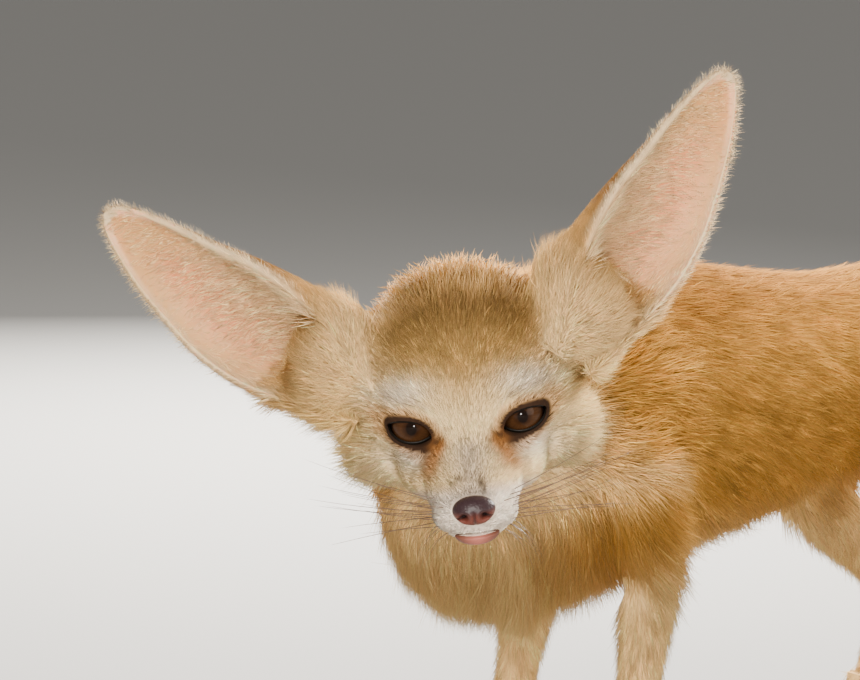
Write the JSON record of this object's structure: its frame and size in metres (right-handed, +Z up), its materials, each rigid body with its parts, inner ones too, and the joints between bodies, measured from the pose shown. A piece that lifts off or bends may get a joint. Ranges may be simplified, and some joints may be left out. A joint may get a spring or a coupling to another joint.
{
  "type": "fennec fox model",
  "caption": "Life-size still model of a standing fennec fox with large cupped ears, a thick ruff and a bushy tail, its head held low and turned to its left.",
  "frame": {"origin": "on the floor under the middle of the bounding box", "axes": "+Z up, -Y the way the body faces, +X the fox's left side"},
  "size_m": [0.1454, 0.5144, 0.2759],
  "materials": {
    "fur": "dense matt fur, sandy cream with a golden brown back",
    "pale_fur": "short dense pale cream fur",
    "tail_tip_fur": "long black-brown fur",
    "nose": "bare moist skin, satin",
    "eye": "wet, glossy, dark brown",
    "claw": "horn, satin"
  },
  "bodies": {
    "root": {"ear_left": "fur", "ear_right": "fur", "eye_left": "eye", "eye_right": "eye", "foreleg_left": "pale_fur", "foreleg_right": "pale_fur", "forepaw_left": "pale_fur", "forepaw_right": "pale_fur", "head": "fur", "hindleg_left": "pale_fur", "hindleg_right": "pale_fur", "hindpaw_left": "pale_fur", "hindpaw_right": "pale_fur", "lower_jaw": "pale_fur", "neck": "fur", "nose": "nose", "tail": "fur", "tail_tip": "tail_tip_fur", "torso": "fur"}
  },
  "joints": []
}
